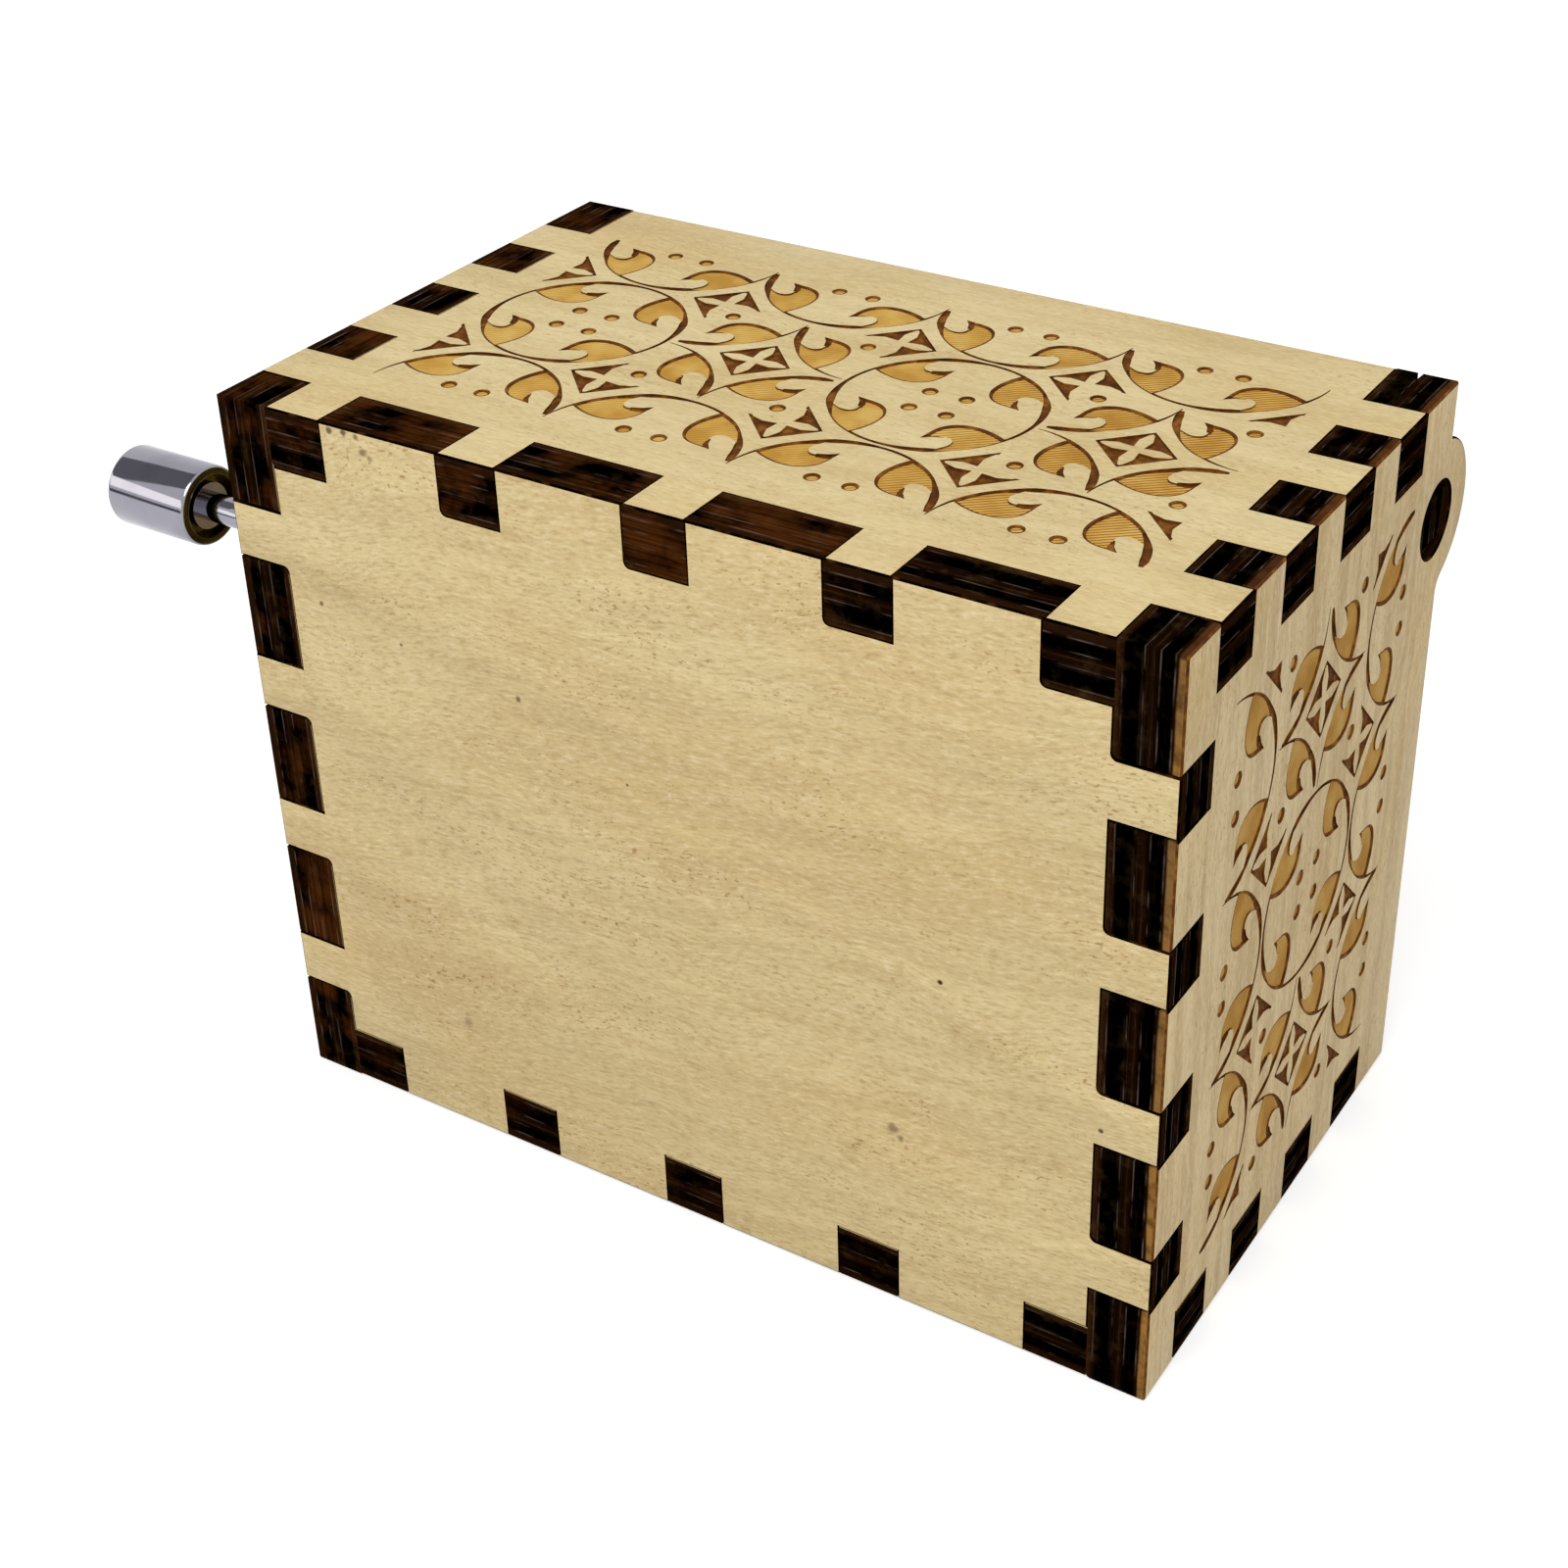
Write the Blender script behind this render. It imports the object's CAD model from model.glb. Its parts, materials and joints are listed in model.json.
import json
import math
import bmesh
import bpy
from mathutils import Matrix, Vector


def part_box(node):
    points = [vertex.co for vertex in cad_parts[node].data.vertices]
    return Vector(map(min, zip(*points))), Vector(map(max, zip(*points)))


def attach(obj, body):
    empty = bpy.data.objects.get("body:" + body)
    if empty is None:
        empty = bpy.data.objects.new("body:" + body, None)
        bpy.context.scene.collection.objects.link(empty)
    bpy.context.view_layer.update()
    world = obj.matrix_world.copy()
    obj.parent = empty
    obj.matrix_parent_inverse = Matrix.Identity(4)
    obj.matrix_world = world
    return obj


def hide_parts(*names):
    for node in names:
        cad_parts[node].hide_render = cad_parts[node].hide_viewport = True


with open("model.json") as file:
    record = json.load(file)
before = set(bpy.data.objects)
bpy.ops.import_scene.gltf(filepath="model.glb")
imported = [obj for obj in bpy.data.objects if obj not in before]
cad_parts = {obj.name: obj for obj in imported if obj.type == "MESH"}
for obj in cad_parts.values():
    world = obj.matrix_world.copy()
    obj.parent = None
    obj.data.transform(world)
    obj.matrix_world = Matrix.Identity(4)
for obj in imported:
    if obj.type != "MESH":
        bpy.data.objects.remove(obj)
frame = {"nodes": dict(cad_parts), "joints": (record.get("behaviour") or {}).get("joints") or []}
bpy.ops.object.select_all(action="DESELECT")
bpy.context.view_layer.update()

# ------------------------------------------------------------------ sizes

MM = 0.001
X, Y, Z = Vector((1, 0, 0)), Vector((0, 1, 0)), Vector((0, 0, 1))

MERGE = 0.002 * MM             # corners nearer than this are one corner
FLAT = math.radians(1)         # faces that turn less than this are one face
ALONG = 0.99                   # a face looks along an axis when its normal has this share of it
WOOD_SMOOTH, METAL_SMOOTH = math.radians(30), math.radians(35)     # sharper edges stay sharp

# the case, from the frame
CASE_LOW = Vector((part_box("left_wall")[0].x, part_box("bottom_panel")[0].y,
                   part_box("front_wall")[0].z))
CASE_HIGH = Vector((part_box("right_wall")[1].x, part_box("lid_panel")[1].y,
                    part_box("back_wall")[1].z))
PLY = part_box("bottom_panel")[1].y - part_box("bottom_panel")[0].y
HINGE = Vector(next(joint["pos_m"] for joint in frame["joints"] if joint["name"] == "lid_hinge"))
HINGE_BORE = 2.7 * MM          # faces nearer to the hinge's middle line are in its bore

# where the wood changes: from, to
LIGHTER_BURN = (CASE_HIGH.x - 15 * MM, CASE_HIGH.x - 23 * MM)      # edges, towards the crank
HATCHED = (CASE_HIGH.x - 30 * MM, CASE_HIGH.x - 19 * MM)           # the laser's fine lines
TOP_VENEER = (CASE_HIGH.z - 0.3 * MM, CASE_HIGH.z - 0.1 * MM)      # burnt brown along the top
TABLE_DIRT = (CASE_LOW.z, CASE_LOW.z + 28 * MM)                    # darker wood near the table

# the engraved pattern: cells in a row, with half cells on both sides of it
ARC = 6.4 * MM                 # radius of every arc
ARC_STEP = 4                   # degrees between two points of a line
CURVE_STEPS = 4                # pieces between two points of a leaf's outline
ROW = 13.25 * MM               # from the middle row to the half rows
TOP_PITCH, SIDE_PITCH = 12.9 * MM, 12.8 * MM         # from cell to cell
TOP_MIDDLE = Vector((0.1 * MM, CASE_LOW.y + 19.95 * MM, CASE_HIGH.z))
SIDE_MIDDLE = Vector((CASE_HIGH.x, CASE_LOW.y + 19.5 * MM, CASE_LOW.z + 25.3 * MM))
DOT, DOT_POINTS = 0.52 * MM, 12
DOT_RING = 1.25 * MM           # the dots' distance from a circle's two middle lines
DOT_CORNER = 1.45 * MM         # the same where a dot takes a triangle's place
DIAMOND_OUT, DIAMOND_IN = 2.59 * MM, 2.29 * MM       # corners of the line round a diamond
CUT_OVERLAP = 0.01 * MM
LIFT = 0.4 * MM                # how far a cutter stands out of the wood
SHOULDER = (0.14 * MM, 0.03 * MM)      # scorched shoulder: width, depth
WALL = (0.04 * MM, 0.08 * MM)          # cut wall: width, depth
LINE_DEPTH = 0.13 * MM
LEAF_ROOT, LEAF_END = 66.8, 23.4       # degrees round the arc
LINE_THICK, LINE_THIN, LINE_MIDDLE, LINE_POINT = 0.54 * MM, 0.22 * MM, 0.26 * MM, 0.07 * MM
LINE_START, LINE_LEAD = 0.14 * MM, 18  # a thick line starts thin, this many degrees up the leaf
ROOT_OVERLAP, JOIN = 1.5, 0.5          # degrees that lines run into the leaf and past a join
THICK_GAP, THIN_GAP = 5.5, 3.0         # degrees that free ends stay short of the cell's side
THICK_TAPER = 6                        # degrees in which a thick free end grows thin
QUARTERS = ((1, 1), (-1, 1), (-1, -1), (1, -1))      # each quarter's side along and across


# ------------------------------------------------------------------ small tools

def tone(red, green, blue):
    """A colour as it looks on a screen, 0 to 255, as the light values Blender takes."""
    return tuple((c / 255) ** 2.2 for c in (red, green, blue)) + (1.0,)


def pick(*pieces):
    """Select only these pieces, the last one active."""
    bpy.ops.object.select_all(action="DESELECT")
    for piece in pieces:
        piece.select_set(True)
    bpy.context.view_layer.objects.active = pieces[-1]


def edit(piece, *jobs):
    """Run jobs on a piece in edit mode; each job is (operator, settings)."""
    pick(piece)
    bpy.ops.object.mode_set(mode="EDIT")
    for operator, settings in jobs:
        operator(**settings)
    bpy.ops.object.mode_set(mode="OBJECT")
    bpy.context.tool_settings.mesh_select_mode = (True, False, False)


def choose(piece, kind, test):
    """Select the faces or edges of a piece that pass a test, and report how many."""
    mesh = bmesh.new()
    mesh.from_mesh(piece.data)
    for group in (mesh.verts, mesh.edges, mesh.faces):
        for item in group:
            item.select = False
    chosen = [item for item in getattr(mesh, kind) if test(item)]
    for item in chosen:
        item.select_set(True)
    mesh.to_mesh(piece.data)
    mesh.free()
    bpy.context.tool_settings.mesh_select_mode = (False, kind == "edges", kind == "faces")
    return len(chosen)


def clean_copy(node, name):
    """A copy of a CAD node's mesh with its loose triangles merged into whole faces."""
    piece = bpy.data.objects.new(name, frame["nodes"][node].data.copy())
    bpy.context.collection.objects.link(piece)
    piece.data.materials.clear()
    edit(piece,
         (bpy.ops.mesh.select_all, {"action": "SELECT"}),
         (bpy.ops.mesh.remove_doubles, {"threshold": MERGE}),
         (bpy.ops.mesh.customdata_custom_splitnormals_clear, {}),
         (bpy.ops.mesh.dissolve_limited, {"angle_limit": FLAT}),
         (bpy.ops.mesh.faces_shade_flat, {}))
    return piece


def use_modifier(piece, kind, **settings):
    """Add a modifier and apply it."""
    pick(piece)
    modifier = piece.modifiers.new(kind, kind)
    for name, value in settings.items():
        setattr(modifier, name, value)
    bpy.ops.object.modifier_apply(modifier=modifier.name)


# ------------------------------------------------------------------ materials

def add(tree, kind, inputs=None, **settings):
    """Add a shader node; an input takes a value or another node's output."""
    shader = tree.nodes.new("ShaderNode" + kind)
    for name, value in settings.items():
        setattr(shader, name, value)
    for name, value in (inputs or {}).items():
        if isinstance(value, bpy.types.NodeSocket):
            tree.links.new(value, shader.inputs[name])
        else:
            shader.inputs[name].default_value = value
    return shader


def maths(tree, operation, *terms):
    return add(tree, "Math", dict(enumerate(terms)), operation=operation).outputs[0]


def blend(tree, share, first, second):
    """A mix of two colours."""
    return add(tree, "Mix", {0: share, 6: first, 7: second}, data_type="RGBA").outputs[2]


def between(tree, value, limits, low=0.0, high=1.0):
    """A value that goes from low to high while another goes from limit to limit."""
    return add(tree, "MapRange", {"Value": value, "From Min": limits[0], "From Max": limits[1],
                                  "To Min": low, "To Max": high}).outputs[0]


def ramp(tree, value, *stops):
    """A value or colour that changes along the stops (place, colour or grey)."""
    scale = add(tree, "ValToRGB", {"Fac": value})
    for number, (place, colour) in enumerate(stops):
        stop = (scale.color_ramp.elements[number] if number < 2
                else scale.color_ramp.elements.new(place))
        stop.position = place
        stop.color = colour if isinstance(colour, tuple) else (colour, colour, colour, 1)
    return scale.outputs["Color"]


def noise(tree, place, scale, stretch=(1, 1, 1), detail=3.0, rough=0.5):
    """Noise whose spots are 1/scale metres wide, drawn out by dividing by stretch."""
    drawn = add(tree, "Mapping", {"Vector": place,
                                  "Scale": tuple(scale / s for s in stretch)}).outputs[0]
    return add(tree, "TexNoise", {"Vector": drawn, "Scale": 1.0, "Detail": detail,
                                  "Roughness": rough}).outputs["Fac"]


def new_group(name, inputs, outputs):
    tree = bpy.data.node_groups.new(name, "ShaderNodeTree")
    for title, kind in inputs:
        tree.interface.new_socket(name=title, in_out="INPUT", socket_type="NodeSocket" + kind)
    for title, kind in outputs:
        tree.interface.new_socket(name=title, in_out="OUTPUT", socket_type="NodeSocket" + kind)
    return tree, tree.nodes.new("NodeGroupInput").outputs, tree.nodes.new("NodeGroupOutput").inputs


def put(tree, group, inputs):
    """Place a node group in a material."""
    placed = tree.nodes.new("ShaderNodeGroup")
    placed.node_tree = group
    for name, value in inputs.items():
        if isinstance(value, bpy.types.NodeSocket):
            tree.links.new(value, placed.inputs[name])
        else:
            placed.inputs[name].default_value = value
    return placed.outputs


def new_material(name):
    """An empty material: its tree, its Principled shader and its Object coordinates."""
    material = bpy.data.materials.new(name)
    material.use_nodes = True
    tree = material.node_tree
    shader = tree.nodes["Principled BSDF"]
    place = add(tree, "TexCoord").outputs["Object"]
    return material, tree, shader, place


def bump(tree, shader, height, strength, distance):
    relief = add(tree, "Bump", {"Height": height, "Strength": strength, "Distance": distance})
    tree.links.new(relief.outputs["Normal"], shader.inputs["Normal"])


def surface(tree, shader, colour, height, rough, specular, strength, relief):
    """Give a shader its colour, its finish and a relief of a height and strength."""
    tree.links.new(colour, shader.inputs["Base Color"])
    shader.inputs["Roughness"].default_value = rough
    shader.inputs["Specular IOR Level"].default_value = specular
    bump(tree, shader, height, strength, relief)


def wood_grain():
    """Birch veneer; the grain runs along the input's X."""
    tree, given, out = new_group(
        "wood_grain",
        [("Place", "Vector"), ("Pale", "Color"), ("Deep", "Color"), ("Warm", "Color"),
         ("Mottle", "Float"), ("Lines", "Float")],
        [("Color", "Color"), ("Height", "Float")])
    sway = maths(tree, "MULTIPLY",
                 maths(tree, "SUBTRACT", noise(tree, given["Place"], 75, detail=1.0), 0.5),
                 2.4 * MM)
    place = add(tree, "VectorMath", {0: given["Place"],
                                     1: add(tree, "CombineXYZ", {"Y": sway, "Z": sway}).outputs[0]},
                operation="ADD").outputs[0]
    slanted = add(tree, "Mapping", {"Vector": place,
                                    "Rotation": (0, math.radians(-12), 0),
                                    "Location": (0.013, 0, 0.021)}).outputs[0]
    clouds = noise(tree, slanted, 170, (3.2, 1, 1), detail=3.0)
    warmth = noise(tree, slanted, 62, (1.7, 1, 1), detail=2.0)
    lines = noise(tree, place, 850, (24, 1, 1), detail=3.0, rough=0.6)
    mottle = noise(tree, place, 5000, (4.0, 1, 1), detail=2.0, rough=0.65)
    flecks = noise(tree, place, 2900, (5.0, 1, 1), detail=1.0)
    pores = maths(tree, "MULTIPLY",
                  ramp(tree, noise(tree, place, 5600, (2.4, 1, 1), detail=1.0),
                       (0.635, 0.0), (0.69, 1.0)),
                  ramp(tree, noise(tree, slanted, 260, (3, 1, 1), detail=2.0),
                       (0.44, 0.06), (0.62, 0.7)))
    dark = blend(tree, 0.42, given["Deep"], tone(138, 90, 38))
    light = add(tree, "HueSaturation", {"Color": given["Pale"], "Saturation": 0.8,
                                        "Value": 1.14}).outputs[0]
    colour = blend(tree, ramp(tree, clouds, (0.40, 0.0), (0.64, 0.65)), given["Pale"],
                   given["Deep"])
    colour = blend(tree, ramp(tree, warmth, (0.50, 0.0), (0.70, 0.45)), colour, given["Warm"])
    colour = blend(tree, maths(tree, "MULTIPLY", ramp(tree, lines, (0.44, 0.0), (0.62, 1.0)),
                               given["Lines"]), colour, dark)
    colour = blend(tree, maths(tree, "MULTIPLY", ramp(tree, mottle, (0.52, 0.0), (0.72, 0.8)),
                               given["Mottle"]), colour, dark)
    colour = blend(tree, maths(tree, "MULTIPLY", ramp(tree, mottle, (0.28, 0.8), (0.47, 0.0)),
                               given["Mottle"]), colour, light)
    fleck = maths(tree, "MULTIPLY", ramp(tree, flecks, (0.66, 0.0), (0.76, 0.45)),
                  given["Mottle"])
    colour = blend(tree, fleck, colour, dark)
    tree.links.new(blend(tree, maths(tree, "MULTIPLY", pores, given["Mottle"]), colour,
                         tone(150, 96, 36)), out["Color"])
    tree.links.new(maths(tree, "SUBTRACT", maths(tree, "ADD", mottle, lines), fleck),
                   out["Height"])
    return tree


def burnt_layers():
    """The laser-burnt edge of plywood; Depth runs from the inner face, 0, to the outer, 1."""
    tree, given, out = new_group(
        "burnt_layers",
        [("Place", "Vector"), ("Depth", "Float"), ("Brown", "Float"), ("Outer", "Color")],
        [("Color", "Color"), ("Height", "Float")])
    place = given["Place"]
    wander = maths(tree, "SUBTRACT", noise(tree, place, 170, detail=1.0), 0.5)
    depth = maths(tree, "ADD", given["Depth"], maths(tree, "MULTIPLY", wander, 0.09))
    char, soot, brown, rust = tone(16, 9, 6), tone(4, 2, 2), tone(36, 22, 13), tone(58, 36, 20)
    layers = ramp(tree, depth, (0.00, rust), (0.08, brown), (0.14, soot), (0.34, soot),
                  (0.42, char), (0.52, brown), (0.61, char), (0.68, soot), (0.79, soot),
                  (0.85, brown), (0.97, rust))
    # charred fibres along the layers
    fibre_place = add(tree, "CombineXYZ", {
        "X": maths(tree, "MULTIPLY", given["Depth"], 24.0),
        "Y": maths(tree, "MULTIPLY", noise(tree, place, 300, detail=1.0), 2.6)}).outputs[0]
    fibres = add(tree, "TexNoise", {"Vector": fibre_place, "Scale": 1.0,
                                    "Detail": 4.0}).outputs["Fac"]
    colour = blend(tree, ramp(tree, fibres, (0.58, 0.0), (0.74, 0.3)), layers,
                   tone(78, 56, 38))
    # less burnt wood, redder, in long patches along the layers
    spots = noise(tree, place, 1000, detail=3.0, rough=0.6)
    patches = maths(tree, "MULTIPLY", ramp(tree, noise(tree, place, 230, detail=4.0, rough=0.6),
                                           (0.43, 0.0), (0.60, 1.0)),
                    ramp(tree, fibres, (0.38, 0.35), (0.62, 1.0)))
    colour = blend(tree, maths(tree, "MULTIPLY", patches, given["Brown"]), colour,
                   tone(100, 57, 27))
    # mottled ash, most of it in the inner and middle veneers
    mottled = maths(tree, "MULTIPLY", ramp(tree, spots, (0.52, 0.0), (0.66, 1.0)),
                    ramp(tree, depth, (0.04, 0.75), (0.14, 0.3), (0.24, 0.1), (0.42, 0.25),
                         (0.52, 0.5), (0.62, 0.1), (0.80, 0.1), (0.88, 0.6)))
    colour = blend(tree, maths(tree, "MULTIPLY", mottled, 0.6), colour, tone(76, 58, 36))
    # pale seams between the veneers, broken along their length
    seam_depth = maths(tree, "ADD", given["Depth"], maths(tree, "MULTIPLY", wander, 0.03))
    seams = ramp(tree, seam_depth, (0.080, 0.0), (0.095, 0.7), (0.110, 0.0), (0.385, 0.0),
                 (0.400, 0.7), (0.415, 0.0), (0.605, 0.0), (0.620, 0.9), (0.635, 0.0),
                 (0.805, 0.0), (0.822, 1.0), (0.840, 0.0))
    broken = ramp(tree, noise(tree, place, 480, detail=2.0), (0.46, 0.0), (0.62, 0.7))
    colour = blend(tree, maths(tree, "MULTIPLY", seams, broken), colour, tone(122, 106, 96))
    # the outer veneer
    outer = ramp(tree, depth, (0.855, 0.0), (0.885, 1.0))
    outer_share = maths(tree, "MULTIPLY", outer, ramp(tree, spots, (0.32, 0.40), (0.54, 1.0)))
    ageing = noise(tree, place, 110, detail=3.0)
    veneer = blend(tree, ramp(tree, ageing, (0.40, 0.0), (0.64, 0.8)), given["Outer"],
                   add(tree, "HueSaturation", {"Color": given["Outer"], "Saturation": 0.9,
                                               "Value": 0.58}).outputs[0])
    tree.links.new(blend(tree, outer_share, colour, veneer), out["Color"])
    tree.links.new(maths(tree, "ADD", fibres, maths(tree, "MULTIPLY", spots, 0.4)), out["Height"])
    return tree


GRAIN = wood_grain()
LAYERS = burnt_layers()

GRAIN_TURN = {"X": (0, math.radians(8), 0), "Z": (0, math.radians(90), 0)}


def birch(name, along, pale, deep, warm, mottle, lines, fade=1.0, specks=()):
    """A wooden face whose grain runs along X or Z, with a few dark specks in the veneer.

    Fade is how bright the wood still is near the table. A speck is its place from the case's
    low corner, its radius and its darkness.
    """
    material, tree, shader, place = new_material(name)
    turned = add(tree, "Mapping", {"Vector": place, "Rotation": GRAIN_TURN[along]}).outputs[0]
    wood = put(tree, GRAIN, {"Place": turned, "Pale": pale, "Deep": deep, "Warm": warm,
                             "Mottle": mottle, "Lines": lines})
    height = add(tree, "SeparateXYZ", {"Vector": place}).outputs["Z"]
    value = between(tree, height, TABLE_DIRT, low=fade)
    colour = add(tree, "HueSaturation", {"Color": wood["Color"], "Value": value}).outputs[0]
    ragged = noise(tree, place, 1300, detail=3.0)
    for spot, radius, darkness in specks:
        away = add(tree, "VectorMath", {0: place, 1: tuple(CASE_LOW + Vector(spot) * MM)},
                   operation="DISTANCE").outputs["Value"]
        spread = maths(tree, "ADD", maths(tree, "DIVIDE", away, radius * MM),
                       maths(tree, "MULTIPLY", maths(tree, "SUBTRACT", ragged, 0.5), 1.8))
        share = maths(tree, "MULTIPLY", ramp(tree, spread, (0.35, 1.0), (0.95, 0.0)), darkness)
        colour = blend(tree, share, colour, tone(70, 38, 10))
    surface(tree, shader, colour, wood["Height"], rough=0.6, specular=0.25, strength=0.3,
            relief=0.03 * MM)
    return material


def burnt_edge(name, axis, inner, outer, lighter, veneer, top_veneer=None):
    """The burnt edge of a panel whose layers lie across an axis, from inner to outer.

    Lighter is how much less the laser burnt it towards the crank's side.
    """
    material, tree, shader, place = new_material(name)
    split = add(tree, "SeparateXYZ", {"Vector": place})
    if top_veneer:
        at_top = between(tree, split.outputs["Z"], TOP_VENEER)
        veneer = blend(tree, at_top, veneer, top_veneer)
    depth = between(tree, split.outputs[axis], (inner, outer))
    brown = between(tree, split.outputs["X"], LIGHTER_BURN, high=lighter)
    edge = put(tree, LAYERS, {"Place": place, "Depth": depth, "Brown": brown,
                              "Outer": veneer})
    surface(tree, shader, edge["Color"], edge["Height"], rough=0.55, specular=0.0,
            strength=0.5, relief=0.08 * MM)
    return material


def soot_line():
    """The sooty corner that the laser left where a veneer meets a burnt edge."""
    material, tree, shader, place = new_material("soot_line")
    spots = noise(tree, place, 750, detail=3.0)
    colour = ramp(tree, spots, (0.36, tone(7, 4, 3)), (0.56, tone(24, 14, 8)),
                  (0.72, tone(82, 52, 28)))
    surface(tree, shader, colour, spots, rough=0.7, specular=0.0, strength=0.4,
            relief=0.05 * MM)
    return material


def scorched():
    """Burnt brown wood on the walls of the engraving and along its lines."""
    material, tree, shader, place = new_material("scorched_wood")
    spots = noise(tree, place, 1300, detail=3.0)
    colour = ramp(tree, spots, (0.32, tone(76, 43, 12)), (0.52, tone(106, 63, 19)),
                  (0.70, tone(144, 95, 39)))
    surface(tree, shader, colour, spots, rough=0.8, specular=0.1, strength=0.4,
            relief=0.03 * MM)
    return material


def engraved(along, hatch, *ambers):
    """The floor of the engraving: amber wood with the fine lines of the laser's passes.

    Hatch is how strong the lines are away from the crank's side.
    """
    material, tree, shader, place = new_material("engraved_floor_" + along.lower())
    turned = add(tree, "Mapping", {"Vector": place, "Rotation": GRAIN_TURN[along]}).outputs[0]
    passes = add(tree, "Mapping", {"Vector": turned,
                                   "Rotation": (0, 0, math.radians(52))}).outputs[0]
    lines = add(tree, "TexWave", {"Vector": passes, "Scale": 1050.0, "Distortion": 1.0,
                                  "Detail": 2.0, "Detail Scale": 1.5}).outputs["Fac"]
    patches = noise(tree, place, 420, detail=3.0)
    amber = ramp(tree, patches, *zip((0.34, 0.52, 0.70), ambers))
    split = add(tree, "SeparateXYZ", {"Vector": place})
    burnt = between(tree, split.outputs["X"], HATCHED, low=0.32, high=hatch)
    share = maths(tree, "MULTIPLY", ramp(tree, lines, (0.22, 1.0), (0.5, 0.0)), burnt)
    surface(tree, shader, blend(tree, share, amber, tone(140, 84, 26)), lines, rough=0.75,
            specular=0.15, strength=0.5, relief=0.03 * MM)
    return material


# ------------------------------------------------------------------ engraving cutters

def point_on_arc(degrees, radius=ARC):
    return (radius * math.cos(math.radians(degrees)), radius * math.sin(math.radians(degrees)))


def cutter(name, outline, sharp=None, stepped=True):
    """A cutter on the plane Z = 0 with its floor in the wood.

    The outline runs through the points. Where sharp is given, the outline is a curve with
    corners only at those points. A stepped cutter has a scorched shoulder and a sloping wall.
    """
    curve = bpy.data.curves.new(name, "CURVE")
    curve.dimensions = "2D"
    curve.fill_mode = "NONE"
    curve.resolution_u = CURVE_STEPS
    line = curve.splines.new("POLY" if sharp is None else "BEZIER")
    if sharp is None:
        line.points.add(len(outline) - 1)
        for point, (across, up) in zip(line.points, outline):
            point.co = (across, up, 0, 1)
    else:
        line.bezier_points.add(len(outline) - 1)
        for number, (point, (across, up)) in enumerate(zip(line.bezier_points, outline)):
            point.co = (across, up, 0)
            handle = "VECTOR" if number in sharp else "AUTO"
            point.handle_left_type = point.handle_right_type = handle
    line.use_cyclic_u = True
    tool = bpy.data.objects.new(name, curve)
    bpy.context.collection.objects.link(tool)
    pick(tool)
    bpy.ops.object.convert(target="MESH")
    tool = bpy.context.object
    middle = sum((vertex.co for vertex in tool.data.vertices), Vector()) / len(tool.data.vertices)
    reach = (sum((vertex.co - middle).length for vertex in tool.data.vertices)
             / len(tool.data.vertices))
    jobs = [(bpy.ops.mesh.extrude_region_move,
             {"TRANSFORM_OT_translate": {"value": (0, 0, -LIFT - (0 if stepped else LINE_DEPTH))}})]
    for width, depth in (SHOULDER, WALL) if stepped else ():
        share = 1 - width / reach
        jobs += [(bpy.ops.mesh.extrude_region_move,
                  {"TRANSFORM_OT_translate": {"value": (0, 0, -depth)}}),
                 (bpy.ops.transform.resize,
                  {"value": (share, share, 1), "center_override": middle})]
    edit(tool,
         (bpy.ops.mesh.select_all, {"action": "SELECT"}),
         (bpy.ops.mesh.remove_doubles, {"threshold": MERGE}),
         (bpy.ops.mesh.edge_face_add, {}),
         (bpy.ops.transform.translate, {"value": (0, 0, LIFT)}),
         *jobs)
    floor = min(vertex.co.z for vertex in tool.data.vertices)
    edit(tool,
         (bpy.ops.mesh.select_all, {"action": "SELECT"}),
         (bpy.ops.mesh.normals_make_consistent, {"inside": False}))
    for face in tool.data.polygons:
        face.material_index = 1 if stepped and abs(face.center.z - floor) < MERGE else 0
    mesh = tool.data
    bpy.data.objects.remove(tool)
    return mesh


def arc_line(name, *stops):
    """A line along the arc; each stop is (degrees, width)."""
    places = []
    for (start, start_width), (end, end_width) in zip(stops, stops[1:]):
        steps = max(1, round(abs(end - start) / ARC_STEP))
        places += [(start + (end - start) * step / steps,
                    start_width + (end_width - start_width) * step / steps)
                   for step in range(steps)]
    places.append(stops[-1])
    outline = [point_on_arc(turn, ARC + width / 2) for turn, width in places]
    outline += [point_on_arc(turn, ARC - width / 2) for turn, width in reversed(places)]
    return cutter(name, outline, stepped=False)


def leaf():
    """The leaf that every quarter of an arc carries, with a hook at its lower end."""
    back = [point_on_arc(a, ARC + 0.12 * MM) for a in (LEAF_END, 34, 45, 56, LEAF_ROOT)]
    front = [(x * MM, y * MM) for x, y in (
        (2.05, 4.9), (1.80, 3.6), (2.0, 2.6), (2.5, 1.95), (3.2, 1.62), (4.45, 1.50),
        (4.0, 2.05), (3.82, 2.65), (4.0, 3.2), (4.6, 3.36), (5.3, 3.05))]
    end, root, hook = 0, len(back) - 1, len(back) + 5
    return cutter("leaf", back + front, sharp={end, root, hook})


def hook_burn():
    """The darker burn at the tip of a leaf's hook."""
    outline = [(x * MM, y * MM) for x, y in (
        (4.62, 1.42), (4.20, 1.98), (3.95, 2.62), (3.72, 2.60), (3.76, 2.05), (4.02, 1.50))]
    return cutter("hook_burn", outline, stepped=False)


def petal_triangle():
    """One dark corner of a diamond; what stays between four of them is a pale star."""
    outline = [(x * MM, y * MM) for x, y in (
        (0.05, 2.42), (0.44, 1.32), (0.32, 0.32), (1.32, 0.44), (2.42, 0.05))]
    return cutter("petal_triangle", outline)


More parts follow.
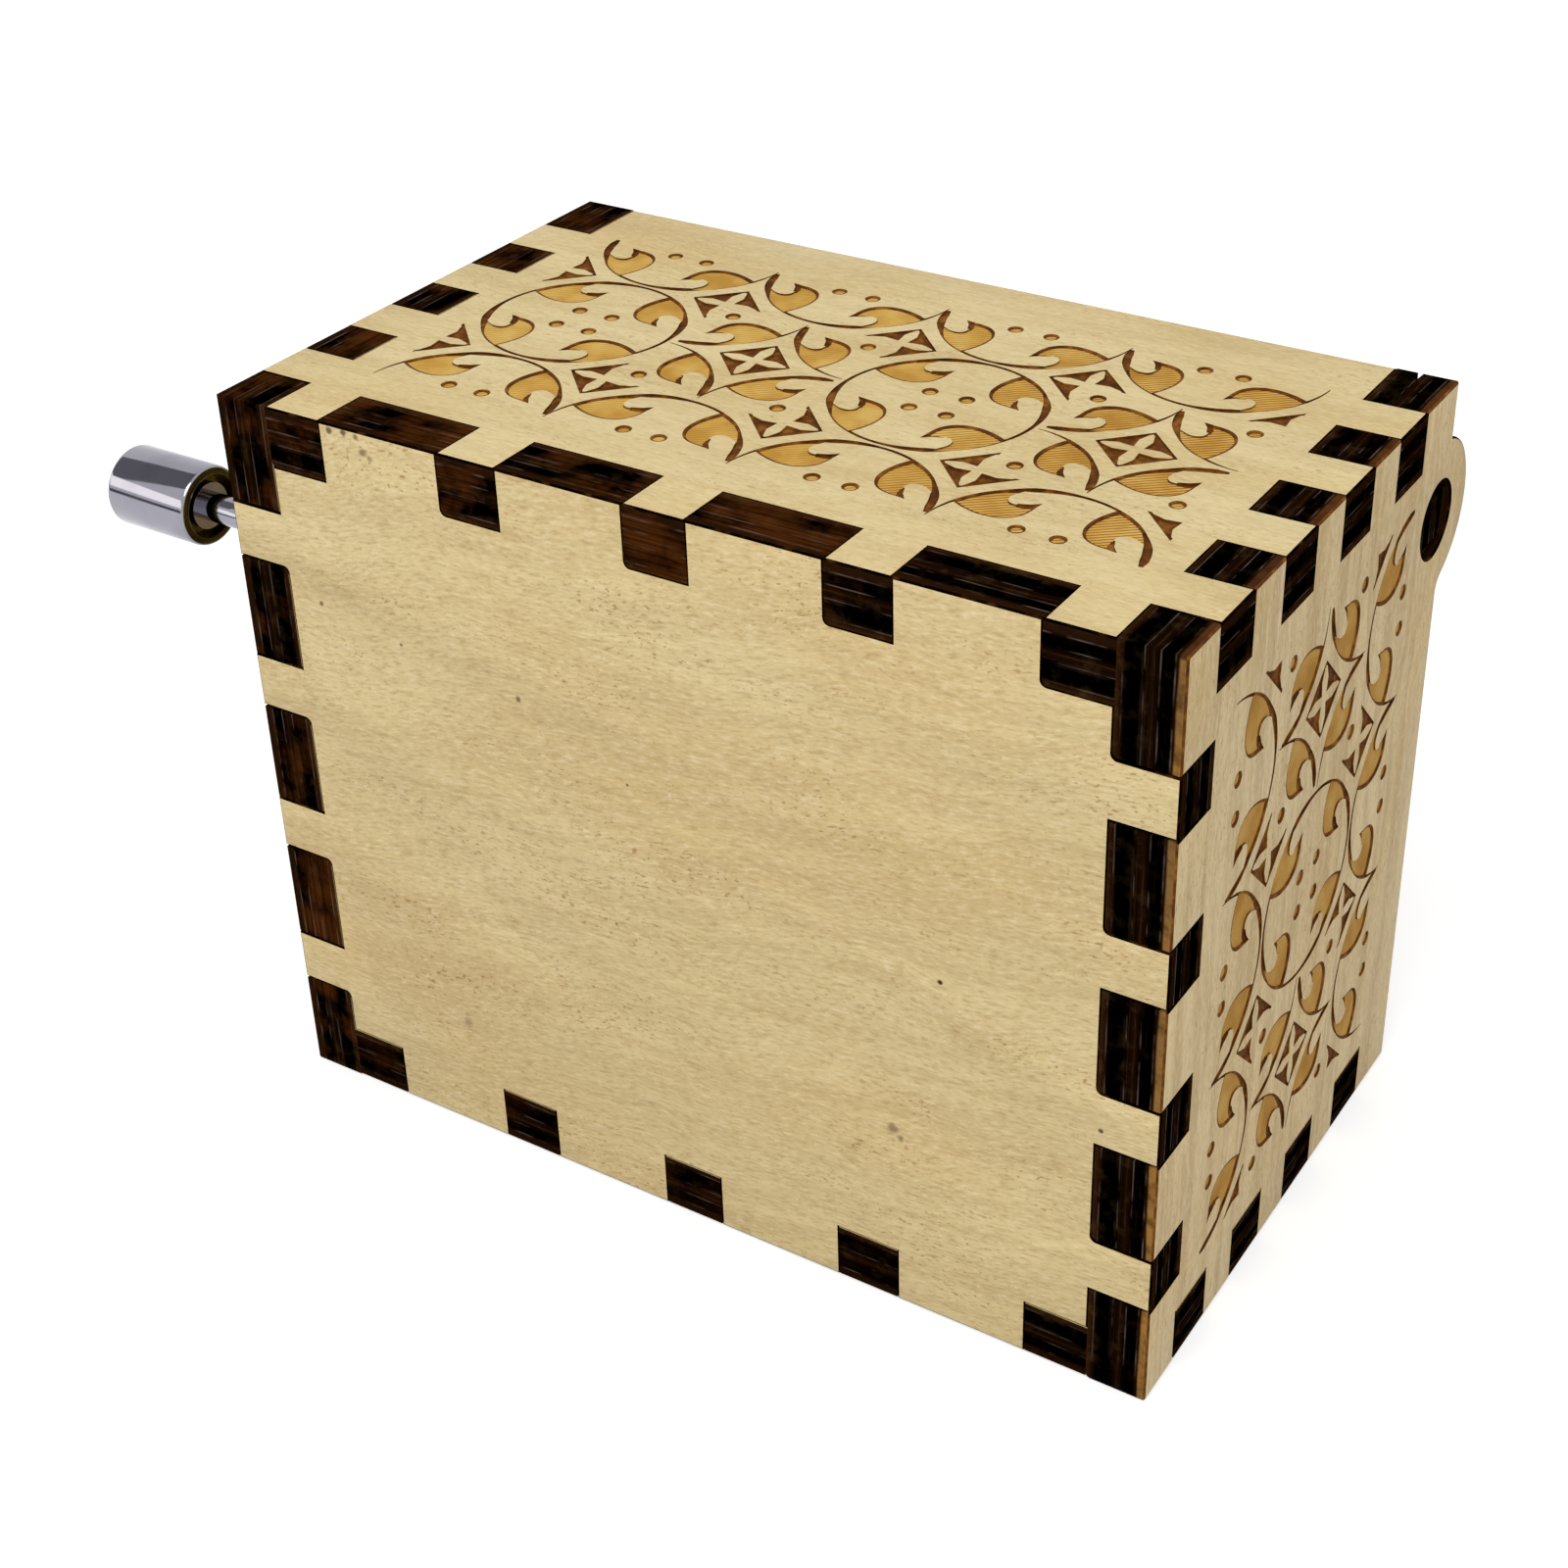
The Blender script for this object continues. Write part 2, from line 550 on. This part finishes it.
def diamond_side():
    """The burnt line along one side of a diamond; four of them close round the pale star."""
    outline = [(DIAMOND_OUT, -CUT_OVERLAP), (-CUT_OVERLAP, DIAMOND_OUT),
               (-CUT_OVERLAP, DIAMOND_IN), (DIAMOND_IN, -CUT_OVERLAP)]
    return cutter("diamond_side", outline, stepped=False)


def dot():
    return cutter("dot", [point_on_arc(360 / DOT_POINTS * step, DOT)
                          for step in range(DOT_POINTS)])


class Pattern:
    """Places copies of the cutters in the cells of the pattern and gathers them by kind."""

    def __init__(self):
        self.tools = {
            "leaf": leaf(), "triangle": petal_triangle(), "side": diamond_side(),
            "dot": dot(), "hook": hook_burn(),
            "thick_joined": arc_line(
                "thick_joined", (LEAF_END + LINE_LEAD, LINE_START), (LEAF_END, LINE_THICK),
                (LEAF_END / 2, LINE_THICK * 0.8), (-JOIN, LINE_MIDDLE)),
            "thick_free": arc_line(
                "thick_free", (LEAF_END + LINE_LEAD, LINE_START), (LEAF_END, LINE_THICK),
                (THICK_GAP + THICK_TAPER, LINE_THICK), (THICK_GAP, LINE_MIDDLE)),
            "thin_joined": arc_line("thin_joined", (LEAF_ROOT - ROOT_OVERLAP, LINE_THIN),
                                    (90 + JOIN, LINE_MIDDLE)),
            "thin_free": arc_line("thin_free", (LEAF_ROOT - ROOT_OVERLAP, LINE_THIN),
                                  (90 - THIN_GAP, LINE_POINT))}
        self.placed = []

    def stamp(self, kind, along, across, quarter=0):
        self.placed.append((kind, along, across, quarter))

    def quarter_arc(self, along, across, quarter, joined_low, joined_high):
        """One leafed quarter of an arc; quarter 0 is the upper right, then anticlockwise."""
        self.stamp("leaf", along, across, quarter)
        self.stamp("hook", along, across, quarter)
        self.stamp("thick_joined" if joined_low else "thick_free", along, across, quarter)
        self.stamp("thin_joined" if joined_high else "thin_free", along, across, quarter)

    def diamond_quarter(self, along, across, quarter):
        self.stamp("triangle", along, across, quarter)
        self.stamp("side", along, across, quarter)

    def lay_out(self, pitch, cells):
        """Cells is a row of o (circle) and x (four arcs round a diamond)."""
        places = [(number - (len(cells) - 1) / 2) * pitch for number in range(len(cells))]
        for along, kind in zip(places, cells):
            for quarter, (side_along, side_across) in enumerate(QUARTERS):
                if kind == "o":
                    self.quarter_arc(along, 0, quarter, True, True)
                    self.stamp("dot", along + side_along * DOT_RING, side_across * DOT_RING)
                else:
                    self.quarter_arc(along - side_along * pitch / 2, -side_across * ROW / 2,
                                     quarter, False, False)
                    self.diamond_quarter(along, 0, quarter)
            for side in (1, -1):
                low, high = (2, 3) if side == 1 else (0, 1)
                self.quarter_arc(along, side * ROW, low, False, True)
                self.quarter_arc(along, side * ROW, high, True, False)
                for turn in (1, -1):
                    self.stamp("dot", along + turn * DOT_RING, side * (ROW - DOT_RING))
        for number in range(len(cells) + 1):
            along = places[0] + (number - 0.5) * pitch
            for side in (1, -1):
                for quarter, (side_along, side_across) in enumerate(QUARTERS):
                    cell = number if side_along == 1 else number - 1
                    if not 0 <= cell < len(cells):
                        continue
                    if cells[cell] == "x" and side_across == -side:
                        self.stamp("dot", along + side_along * DOT_CORNER,
                                   side * ROW / 2 + side_across * DOT_CORNER)
                    else:
                        self.diamond_quarter(along, side * ROW / 2, quarter)

    def cut(self, piece, face, materials):
        """Cut the pattern into a piece; face places the pattern's plane on the wood.

        Arcs that touch each other are cut one after the other, in two halves of the turn,
        and so are the sides of a diamond that meet.
        """
        scorch, floor = materials
        for kind, half in ((kind, half) for kind in self.tools for half in (0, 1)):
            copies = []
            for placed, along, across, quarter in self.placed:
                if placed != kind or (quarter % 2 if kind == "side" else quarter // 2) != half:
                    continue
                mesh = self.tools[kind].copy()
                mesh.transform(face @ Matrix.Translation((along, across, 0))
                               @ Matrix.Rotation(math.radians(90 * quarter), 4, "Z"))
                mesh.materials.append(scorch)
                mesh.materials.append(scorch if kind == "triangle" else floor)
                copies.append(bpy.data.objects.new(kind, mesh))
                bpy.context.collection.objects.link(copies[-1])
            if not copies:
                continue
            pick(*copies)
            bpy.ops.object.join()
            knives = bpy.context.object
            use_modifier(piece, "BOOLEAN", operation="DIFFERENCE", object=knives,
                         solver="EXACT", material_mode="TRANSFER")
            bpy.data.objects.remove(knives)


# ------------------------------------------------------------------ the case

NOTCH_ROUND = 0.32 * MM        # rounded corner that the laser left in a notch
NOTCH_REACH = 1.5 * PLY        # corners nearer to a panel's side than this are its notches'
SOFT_EDGE = 0.12 * MM          # burnt bevel along every edge of a panel

LOW_LEFT, HIGH_RIGHT = (X, Z), (-X, -Z)        # a notch's corner by the way its two sides face
TENON_LOW_LEFT, TENON_HIGH_RIGHT = (-X, -Z), (X, Z)

FACE, EDGE, LINE, BORE, SCORCH = range(5)      # the materials of a panel, in order
VENEER_DARK, VENEER_AMBER, VENEER_BROWN = tone(44, 28, 17), tone(166, 120, 62), tone(92, 58, 32)

# dark specks in the plain veneer: place from the case's low corner and radius, mm, darkness
SPECKS = (((6.35, 0, 37.96), 0.22, 0.8), ((12.5, 0, 36.78), 0.20, 0.8),
          ((21.28, 0, 35.51), 0.24, 0.7), ((50.12, 0, 25.53), 0.20, 1.0),
          ((60.4, 0, 19.11), 0.18, 0.9), ((46.8, 0, 13.5), 0.5, 0.55),
          ((47.4, 0, 12.9), 0.35, 0.6), ((14.39, 0, 8.59), 0.6, 0.35),
          ((8.9, 0, 50.2), 0.25, 0.8), ((10.0, 0, 50.3), 0.3, 0.8),
          ((10.9, 0, 50.2), 0.3, 0.7), ((11.3, 0, 49.3), 0.35, 0.6),
          ((11.8, 0, 49.0), 0.25, 0.5), ((28.96, 0, 31.94), 0.12, 0.8),
          ((27.35, 0, 21.35), 0.12, 0.8))

# a chip in the last tenon at the far corner
CHIP_LOW = Vector((CASE_HIGH.x - 2.6 * MM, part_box("back_wall")[1].y - 0.9 * MM,
                   CASE_HIGH.z - 0.8 * MM))
CHIP_HIGH = Vector((CASE_HIGH.x - 2.2 * MM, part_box("back_wall")[1].y + LIFT,
                    CASE_HIGH.z + LIFT))


def faces_meet(edge, first, second):
    """Whether one side of the edge faces the first way and the other the second."""
    if len(edge.link_faces) != 2:
        return False
    one, other = (face.normal for face in edge.link_faces)
    return any(a.dot(first) > ALONG and b.dot(second) > ALONG
               for a, b in ((one, other), (other, one)))


def round_corners(piece, sides, hollow, where):
    """Round the upright corners of a panel's notches or tenons."""
    chosen = choose(piece, "edges", lambda edge: faces_meet(edge, *sides)
                    and (edge.calc_face_angle_signed(0) < 0) == hollow
                    and where((edge.verts[0].co + edge.verts[1].co) / 2))
    if chosen:
        edit(piece, (bpy.ops.mesh.bevel, {"offset": NOTCH_ROUND, "segments": 4}))


def panel(node, axis, out, face, edge, bore, line, scorch, rounded=()):
    """A plywood panel with wooden faces, burnt edges, darker bores and sooty corners."""
    piece = clean_copy(node, node + "_wood")
    for material in (face, edge, line) + ((bore, scorch) if bore else ()):
        piece.data.materials.append(material)
    for sides, hollow, where in rounded:
        round_corners(piece, sides, hollow, where)
    for polygon in piece.data.polygons:
        from_hinge = (polygon.center - HINGE) * (1 - abs(X.dot(polygon.normal)))
        from_hinge.x = 0
        in_bore = bore and 0 < from_hinge.length < HINGE_BORE
        polygon.material_index = (FACE if abs(polygon.normal[axis]) > ALONG
                                  else BORE if in_bore else EDGE)
    if choose(piece, "edges", lambda edge: {round(f.normal[axis] * out, 2)
                                            for f in edge.link_faces} == {0, 1}):
        edit(piece, (bpy.ops.mesh.bevel, {"offset": SOFT_EDGE, "segments": 2,
                                          "material": LINE}))
    if bore:       # the outer edges are scorched brown, not sooty
        for polygon in piece.data.polygons:
            if polygon.material_index == LINE and any(
                    abs(polygon.center[side] - limit[side]) < SOFT_EDGE
                    for side, limit in ((1, CASE_LOW), (2, CASE_LOW), (2, CASE_HIGH))):
                polygon.material_index = SCORCH
    pick(piece)
    bpy.ops.object.shade_smooth_by_angle(angle=WOOD_SMOOTH)
    return piece


def chip_out(piece, low, high):
    """Cut a small chip out of a panel's edge, between two corners, narrower at its bottom."""
    bpy.ops.mesh.primitive_cube_add(size=1.0, location=(low + high) / 2)
    chip = bpy.context.object
    chip.scale = high - low
    bpy.ops.object.transform_apply(location=True, rotation=True, scale=True)
    choose(chip, "faces", lambda face: face.normal.y < -ALONG)
    edit(chip, (bpy.ops.transform.resize, {"value": (0.5, 1, 1)}))
    chip.data.materials.append(piece.data.materials[EDGE])
    use_modifier(piece, "BOOLEAN", operation="DIFFERENCE", object=chip, solver="EXACT",
                 material_mode="TRANSFER")
    bpy.data.objects.remove(chip)


def make_case():
    low, high = CASE_LOW, CASE_HIGH
    front_face = birch("birch_plain", "X", tone(231, 208, 153), tone(220, 195, 140),
                       tone(222, 188, 127), 0.8, 0.26, 0.95, SPECKS)
    back_face = birch("birch_back", "X", tone(228, 207, 154), tone(213, 187, 129),
                      tone(218, 183, 118), 0.5, 0.22)
    side_face = birch("birch_side", "Z", tone(229, 205, 156), tone(208, 181, 128),
                      tone(212, 178, 120), 0.6, 0.5)
    scorch, line = scorched(), soot_line()
    top_notch = (LOW_LEFT, True, lambda place: place.z > high.z - NOTCH_REACH)
    right_notch = (LOW_LEFT, True, lambda place: place.x > high.x - NOTCH_REACH)
    left_notch = (HIGH_RIGHT, True, lambda place: place.x < low.x + NOTCH_REACH)
    low_tenons, high_tenons = ((corner, False, lambda place: place.y < low.y + PLY)
                               for corner in (TENON_LOW_LEFT, TENON_HIGH_RIGHT))
    panels = {}
    for node, axis, inner, outer, face, lighter, rounded in (
            ("bottom_panel", 1, low.y + PLY, low.y, front_face, 0.6,
             (top_notch, right_notch, left_notch)),
            ("back_wall", 2, high.z - PLY, high.z, back_face, 0.6, (low_tenons,)),
            ("front_wall", 2, low.z + PLY, low.z, back_face, 0.15, ()),
            ("left_wall", 0, low.x + PLY, low.x, side_face, 0.6, (high_tenons,)),
            ("right_wall", 0, high.x - PLY, high.x, side_face, 0.6, (low_tenons,)),
            ("lid_panel", 1, high.y - PLY, high.y, front_face, 0.6, ())):
        # the right wall's outer veneer is hardly burnt, but for its top edge and its bore
        veneers, bore = (VENEER_DARK,), None
        if node == "right_wall":
            veneers = VENEER_AMBER, VENEER_BROWN
        edge = burnt_edge("burnt_edge_" + node, axis, inner, outer, lighter, *veneers)
        if node == "right_wall":
            bore = burnt_edge("burnt_bore_" + node, axis, inner, outer, 0.0, VENEER_DARK)
        panels[node] = panel(node, axis, math.copysign(1, outer - inner), face, edge, bore, line,
                             scorch, rounded)
    for node, pitch, cells, face, floor in (
            ("back_wall", TOP_PITCH, "oxox", Matrix.Translation(TOP_MIDDLE),
             engraved("X", 0.82, tone(196, 147, 61), tone(216, 170, 82), tone(228, 190, 105))),
            ("right_wall", SIDE_PITCH, "xox", Matrix.Translation(SIDE_MIDDLE)
             @ Matrix(((0, 0, 1), (0, -1, 0), (1, 0, 0))).to_4x4(),
             engraved("Z", 0.46, tone(180, 132, 56), tone(202, 155, 74), tone(215, 174, 96)))):
        pattern = Pattern()
        pattern.lay_out(pitch, cells)
        pattern.cut(panels[node], face, (scorch, floor))
    chip_out(panels["right_wall"], CHIP_LOW, CHIP_HIGH)
    for node, piece in panels.items():
        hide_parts(node)
        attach(piece, "lid" if node == "lid_panel" else "case")


# ------------------------------------------------------------------ crank knob and metals

KNOB_RIM = 0.62 * MM           # flat ring round the knob's mouth
KNOB_EDGE = 0.35 * MM          # its rounded edges
MOUTH_EDGE = KNOB_EDGE * 0.4
KNOB_MOUTH = 0.75 * MM         # depth of the mouth
ROD_RADIUS = 1.0 * MM
ROD_GAP = 0.06 * MM
ROD_REACH = 0.8                # the rod's bore, as a share of what the mouth leaves of the knob


def machined_metal():
    """Fine turning marks, stains and small scratches."""
    tree, given, out = new_group(
        "machined_metal",
        [("Place", "Vector"), ("Metal", "Color"), ("Stain", "Color"), ("Marks", "Float"),
         ("Dullness", "Float")],
        [("Color", "Color"), ("Roughness", "Float"), ("Height", "Float")])
    place = given["Place"]
    stains = noise(tree, place, 260, detail=4.0)
    marks = noise(tree, place, 900, (1, 30, 30), detail=3.0)
    specks = noise(tree, place, 2400, detail=2.0)
    colour = blend(tree, ramp(tree, stains, (0.48, 0.0), (0.72, 0.7)), given["Metal"],
                   given["Stain"])
    tree.links.new(blend(tree, maths(tree, "MULTIPLY", marks, given["Marks"]), colour,
                         given["Stain"]), out["Color"])
    rough = maths(tree, "MULTIPLY", given["Dullness"],
                  maths(tree, "ADD", maths(tree, "ADD", marks, stains), 0.1))
    tree.links.new(rough, out["Roughness"])
    tree.links.new(maths(tree, "ADD", marks, maths(tree, "MULTIPLY", specks, 0.4)),
                   out["Height"])
    return tree


def metal(name, group, colour, stain, marks, dullness, relief):
    """A metal: how much its marks show, how dull it is and how strong its relief is."""
    material, tree, shader, place = new_material(name)
    made = put(tree, group, {"Place": place, "Metal": colour, "Stain": stain, "Marks": marks,
                             "Dullness": dullness})
    shader.inputs["Metallic"].default_value = 1.0
    tree.links.new(made["Color"], shader.inputs["Base Color"])
    tree.links.new(made["Roughness"], shader.inputs["Roughness"])
    bump(tree, shader, made["Height"], relief, 0.01 * MM)
    return material


def give(material, *nodes):
    """Put a material on CAD nodes that stay as they are."""
    for node in nodes:
        for slot in frame["nodes"][node].material_slots:
            slot.material = material


def make_metals():
    group = machined_metal()
    brass, brown = tone(214, 178, 104), tone(120, 84, 40)
    steel, grey = tone(196, 196, 198), tone(104, 102, 104)
    for name, colour, stain, marks, dullness, relief, nodes in (
            ("satin_brass_plate", brass, brown, 0.25, 0.38, 0.3,
             ("bedplate", "worm_bridge", "arbor_bracket")),
            ("drum_brass", tone(222, 188, 112), brown, 0.35, 0.27, 0.15, ("drum", "drum_heads")),
            ("wheel_brass", tone(206, 166, 90), brown, 0.4, 0.32, 0.15, ("worm_wheel",)),
            ("ground_steel", steel, grey, 0.45, 0.32, 0.4, ("comb",)),
            ("dull_weights", tone(122, 122, 128), tone(70, 70, 74), 0.3, 0.52, 0.4,
             ("tuning_weights",)),
            ("screw_steel", tone(186, 186, 188), grey, 0.3, 0.28, 0.15,
             ("comb_screws", "bracket_screws", "bridge_screws", "mounting_screws")),
            ("pin_steel", tone(200, 200, 202), grey, 0.2, 0.3, 0.15, ("drum_pins", "drum_arbor")),
            ("turned_steel", tone(182, 182, 184), grey, 0.35, 0.3, 0.15, ("worm_shaft",))):
        give(metal(name, group, colour, stain, marks, dullness, relief), *nodes)
    plate = metal("nickel_plate", group, tone(153, 151, 161), tone(128, 126, 136), 0.06, 0.08,
                  0.03)
    tarnish = metal("tarnished_plate", group, tone(84, 76, 36), tone(40, 34, 14), 0.3, 0.16, 0.1)
    give(plate, "crank_rod")
    return plate, tarnish


def make_knob(plate, tarnish):
    """The turned knob: rounded edges, and a tarnished end with a mouth round the rod."""
    low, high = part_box("crank_knob")
    middle, length, radius = (low + high) / 2, high.x - low.x, (high.z - low.z) / 2
    bpy.ops.mesh.primitive_cylinder_add(vertices=64, radius=radius, depth=length,
                                        location=middle, rotation=(0, math.radians(90), 0))
    knob = bpy.context.object
    knob.name = "turned_knob"
    bpy.ops.object.transform_apply(location=True, rotation=True, scale=True)
    choose(knob, "faces", lambda face: face.normal.x > ALONG)
    edit(knob,
         (bpy.ops.mesh.inset, {"thickness": KNOB_RIM}),
         (bpy.ops.mesh.extrude_region_move,
          {"TRANSFORM_OT_translate": {"value": (-KNOB_MOUTH, 0, 0)}}),
         (bpy.ops.mesh.inset, {"thickness": radius - KNOB_RIM - ROD_RADIUS - ROD_GAP}),
         (bpy.ops.mesh.extrude_region_move,
          {"TRANSFORM_OT_translate": {"value": (-(length - KNOB_MOUTH) * ROD_REACH, 0, 0)}}))
    rim = radius * 0.999
    choose(knob, "edges", lambda edge: all(
        math.hypot(v.co.y - middle.y, v.co.z - middle.z) > rim for v in edge.verts)
        and abs(edge.verts[0].co.x - edge.verts[1].co.x) < MERGE)
    edit(knob, (bpy.ops.mesh.bevel, {"offset": KNOB_EDGE, "segments": 4}))
    choose(knob, "edges", lambda edge: all(
        abs(math.hypot(v.co.y - middle.y, v.co.z - middle.z) - radius + KNOB_RIM) < MERGE
        and v.co.x > high.x - KNOB_MOUTH / 2 for v in edge.verts))
    edit(knob, (bpy.ops.mesh.bevel, {"offset": MOUTH_EDGE, "segments": 2}))
    pick(knob)
    bpy.ops.object.shade_smooth_by_angle(angle=METAL_SMOOTH)
    knob.data.materials.append(plate)
    knob.data.materials.append(tarnish)
    for polygon in knob.data.polygons:
        away = math.hypot(polygon.center.y - middle.y, polygon.center.z - middle.z)
        at_mouth = polygon.center.x > high.x - KNOB_EDGE and away < radius - KNOB_EDGE * 0.2
        inside = polygon.center.x > low.x + KNOB_EDGE and away < radius - KNOB_EDGE * 1.2
        polygon.material_index = 1 if at_mouth or inside else 0
    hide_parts("crank_knob")
    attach(knob, "knob")


# ------------------------------------------------------------------ light, floor and camera

CAMERA_PLACE = (0.07537, -0.11999, 0.1137)
CAMERA_TURN, CAMERA_DIP, CAMERA_ROLL = 32.135, 31.323, -1.212      # degrees
CAMERA_LENS, CAMERA_SENSOR = 59.15, 36.0
CAMERA_SHIFT = (-0.0363, -0.0419)


def make_camera():
    camera = bpy.data.objects.new("camera", bpy.data.cameras.new("camera"))
    bpy.context.collection.objects.link(camera)
    camera.data.lens = CAMERA_LENS
    camera.data.sensor_width = CAMERA_SENSOR
    camera.data.clip_start = 0.01
    camera.data.shift_x, camera.data.shift_y = CAMERA_SHIFT
    turn = (Matrix.Rotation(math.radians(CAMERA_TURN), 4, "Z")
            @ Matrix.Rotation(math.radians(90 - CAMERA_DIP), 4, "X")
            @ Matrix.Rotation(math.radians(CAMERA_ROLL), 4, "Z"))
    camera.matrix_world = Matrix.Translation(CAMERA_PLACE) @ turn
    bpy.context.scene.camera = camera


KEY_PLACE, KEY_AIM, KEY_SIZE, KEY_POWER = (0.10, -0.40, 0.65), (0, 0, 0.025), 0.5, 2.6
SKY_LIGHT = 0.55               # what the white sky gives; where it is seen it is fully white
FLOOR_SIZE, FLOOR_GAP, FLOOR_TONE, FLOOR_GLOW = 6.0, 0.1 * MM, 0.72, 0.52

# studio cards that the polished metal reflects: place from the knob, size, colour, strength
KNOB_MIDDLE = (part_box("crank_knob")[0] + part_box("crank_knob")[1]) / 2
WARM_WHITE, COOL_WHITE = (1, 0.98, 0.92), (0.95, 0.93, 1)
CARDS = (("bright_card", (-0.71, -0.74, 0.24), (1.6, 0.32), WARM_WHITE, 2.4),
         ("dark_card", (-0.71, -0.16, 0.77), (0.8, 1.6), COOL_WHITE, 0.26),
         ("thin_card", (-0.135, -0.15, -0.014), (0.3, 0.02), COOL_WHITE, 0.15))


def make_light():
    lamp = bpy.data.lights.new("key", "AREA")
    lamp.shape = "DISK"
    lamp.size = KEY_SIZE
    lamp.energy = KEY_POWER
    light = bpy.data.objects.new("key", lamp)
    bpy.context.collection.objects.link(light)
    light.location = KEY_PLACE
    aim = Vector(KEY_AIM) - Vector(KEY_PLACE)
    light.rotation_euler = aim.to_track_quat("-Z", "Y").to_euler()


def make_card(name, place, size, colour, strength):
    """A studio card that only the polished metal sees."""
    bpy.ops.mesh.primitive_plane_add(size=1.0, location=place)
    card = bpy.context.object
    card.name = name
    card.scale = (size[0], size[1], 1)
    card.rotation_euler = (KNOB_MIDDLE - place).to_track_quat("Z", "Y").to_euler()
    card.visible_camera = card.visible_diffuse = card.visible_shadow = False
    material, tree, shader, _ = new_material(name)
    shader.inputs["Base Color"].default_value = (0, 0, 0, 1)
    shader.inputs["Roughness"].default_value = 1.0
    shader.inputs["Specular IOR Level"].default_value = 0.0
    shader.inputs["Emission Color"].default_value = (*colour, 1)
    shader.inputs["Emission Strength"].default_value = strength
    card.data.materials.append(material)


def seen_rays(tree):
    """1 for what is seen by the camera, in polished metal or through glass, otherwise 0."""
    rays = add(tree, "LightPath").outputs
    return maths(tree, "MAXIMUM", rays["Is Camera Ray"],
                 maths(tree, "MAXIMUM", rays["Is Glossy Ray"], rays["Is Transmission Ray"]))


def make_studio():
    world = bpy.data.worlds.new("studio")
    bpy.context.scene.world = world
    world.use_nodes = True
    tree = world.node_tree
    sky = tree.nodes["Background"]
    glow = maths(tree, "MULTIPLY", seen_rays(tree), 1 - SKY_LIGHT)
    tree.links.new(maths(tree, "ADD", glow, SKY_LIGHT), sky.inputs["Strength"])
    sky.inputs["Color"].default_value = (1, 1, 1, 1)

    bpy.ops.mesh.primitive_plane_add(size=FLOOR_SIZE, location=(0, 0, CASE_LOW.z - FLOOR_GAP))
    floor = bpy.context.object
    floor.name = "floor"
    material, tree, shader, _ = new_material("studio_floor")
    shader.inputs["Base Color"].default_value = (FLOOR_TONE, FLOOR_TONE, FLOOR_TONE, 1)
    shader.inputs["Roughness"].default_value = 1.0
    shader.inputs["Specular IOR Level"].default_value = 0.0
    shader.inputs["Emission Color"].default_value = (1, 1, 1, 1)
    tree.links.new(maths(tree, "MULTIPLY", seen_rays(tree), FLOOR_GLOW),
                   shader.inputs["Emission Strength"])
    floor.data.materials.append(material)

    make_light()
    for name, offset, size, colour, strength in CARDS:
        make_card(name, KNOB_MIDDLE + Vector(offset), size, colour, strength)


make_case()
make_knob(*make_metals())
make_studio()
make_camera()
bpy.context.scene.view_settings.view_transform = "Standard"
